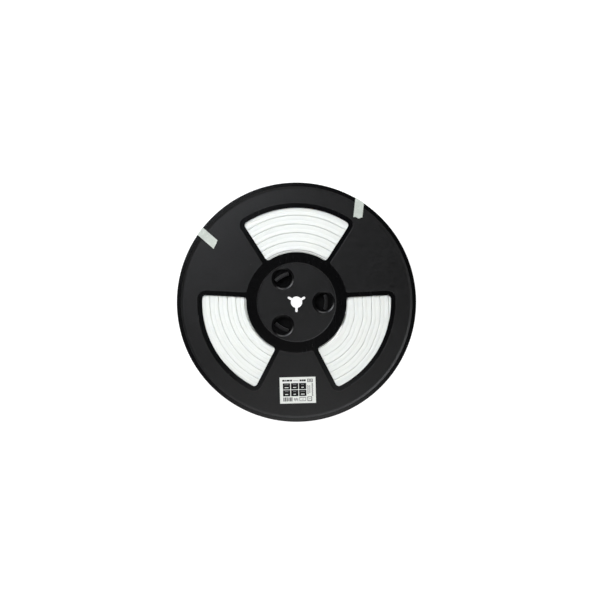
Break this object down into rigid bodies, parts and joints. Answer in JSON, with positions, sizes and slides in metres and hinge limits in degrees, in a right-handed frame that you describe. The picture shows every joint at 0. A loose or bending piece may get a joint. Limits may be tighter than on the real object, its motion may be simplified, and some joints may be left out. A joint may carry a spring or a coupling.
{
  "type": "reel of led neon flex",
  "caption": "Flat plastic snap-together reel holding a wound coil of white silicone neon flex light, with paper tape over its edge and a label.",
  "frame": {"origin": "on the reel's axis, at the level of the lowest tape run, with the reel lying flat on its back flange", "axes": "+Z along the reel's axis out of the front flange, +Y away from the label towards the top window, +X to the right as seen from the front"},
  "size_m": [0.33, 0.33, 0.0213],
  "materials": {
    "reel_plastic": "fine textured matte black, with smooth satin rings and ledges",
    "flex_silicone": "satin translucent white silicone",
    "lead_jacket": "satin white cable jacket",
    "paper_tape": "creped off-white paper masking tape",
    "label_paper": "printed white label stock"
  },
  "bodies": {
    "root": {"reel_half_front": "reel_plastic", "reel_half_back": "reel_plastic", "neon_flex_coil": "flex_silicone", "lead_wire": "lead_jacket", "tape_strip_left": "paper_tape", "tape_strip_right": "paper_tape", "paper_label": "label_paper"}
  },
  "joints": []
}
